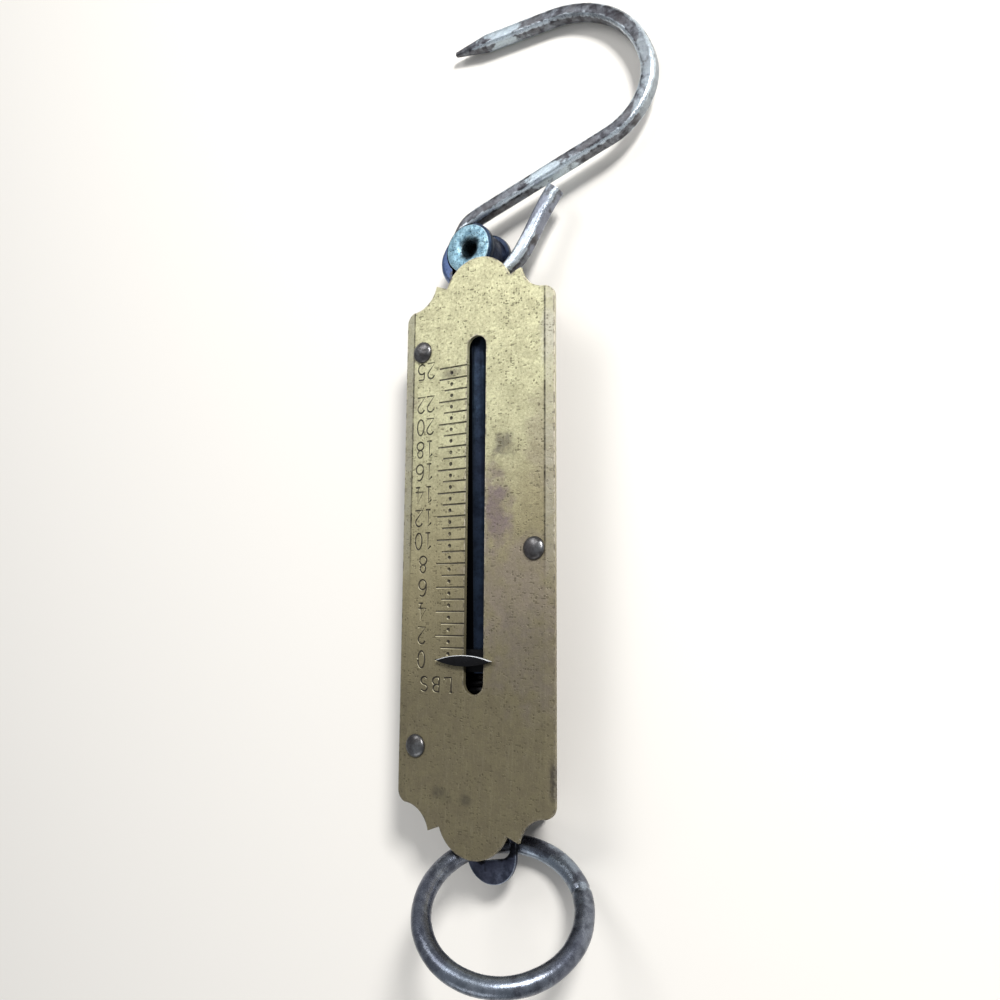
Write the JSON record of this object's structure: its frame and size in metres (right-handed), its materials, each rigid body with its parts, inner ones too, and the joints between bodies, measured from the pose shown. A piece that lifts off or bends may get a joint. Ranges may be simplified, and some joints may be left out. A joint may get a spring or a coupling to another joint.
{
  "type": "spring balance",
  "caption": "Pocket spring balance with a notched brass face plate, slotted pound scale, sliding draw tube with pointer, S-hook below and a suspension ring above.",
  "frame": {"origin": "centre of the flat resting face of the back casing, under the middle of the face plate", "axes": "the balance lies on its back: +Z out of the face plate, +Y along the plate towards the hook, +X across the plate to the side without the numbers"},
  "size_m": [0.058, 0.2087, 0.031],
  "materials": {
    "face_plate": "aged face brass, fine specks and scratches, worn edges",
    "back_casing": "blued sheet steel, rubbed at the bends",
    "plate_rivets": "bright steel rivet heads, lightly stained",
    "draw_tube": "blued steel tube",
    "pointer": "worn steel sheet",
    "anchor_pin": "plain steel wire",
    "main_spring": "blued spring wire",
    "ring_hanger": "blued sheet steel",
    "suspension_ring": "drawn steel wire, polished by use",
    "fork_bush": "dark steel bush",
    "hook_rivet": "bright blued steel rim",
    "s_hook": "forged steel, stained brown with bright worn patches"
  },
  "bodies": {
    "casing": {"face_plate": "face_plate", "back_casing": "back_casing", "rivet_upper": "plate_rivets", "rivet_middle": "plate_rivets", "rivet_lower": "plate_rivets", "ring_hanger": "ring_hanger", "main_spring": "main_spring"},
    "draw_gear": {"draw_tube": "draw_tube", "pointer": "pointer", "anchor_pin": "anchor_pin", "fork_bush": "fork_bush", "hook_rivet": "hook_rivet"},
    "hook": {"s_hook": "s_hook"},
    "ring": {"suspension_ring": "suspension_ring"}
  },
  "joints": [
    {"name": "draw_slide", "type": "slide", "parent": "casing", "child": "draw_gear", "axis": [0, 1, 0], "range_m": [0, 0.0635], "stiffness_N_per_m": 1750, "deforming": ["main_spring"]},
    {"name": "hook_swing", "type": "hinge", "parent": "draw_gear", "child": "hook", "pos_m": [-0.00415, 0.06733, 0.0073], "axis": [0, 0, 1], "range_deg": [-30, 100]},
    {"name": "ring_swing", "type": "hinge", "parent": "casing", "child": "ring", "pos_m": [-0.0007, -0.0619, 0.0066], "axis": [0.7239, 0.2031, -0.6593], "range_deg": [0, 110]}
  ]
}
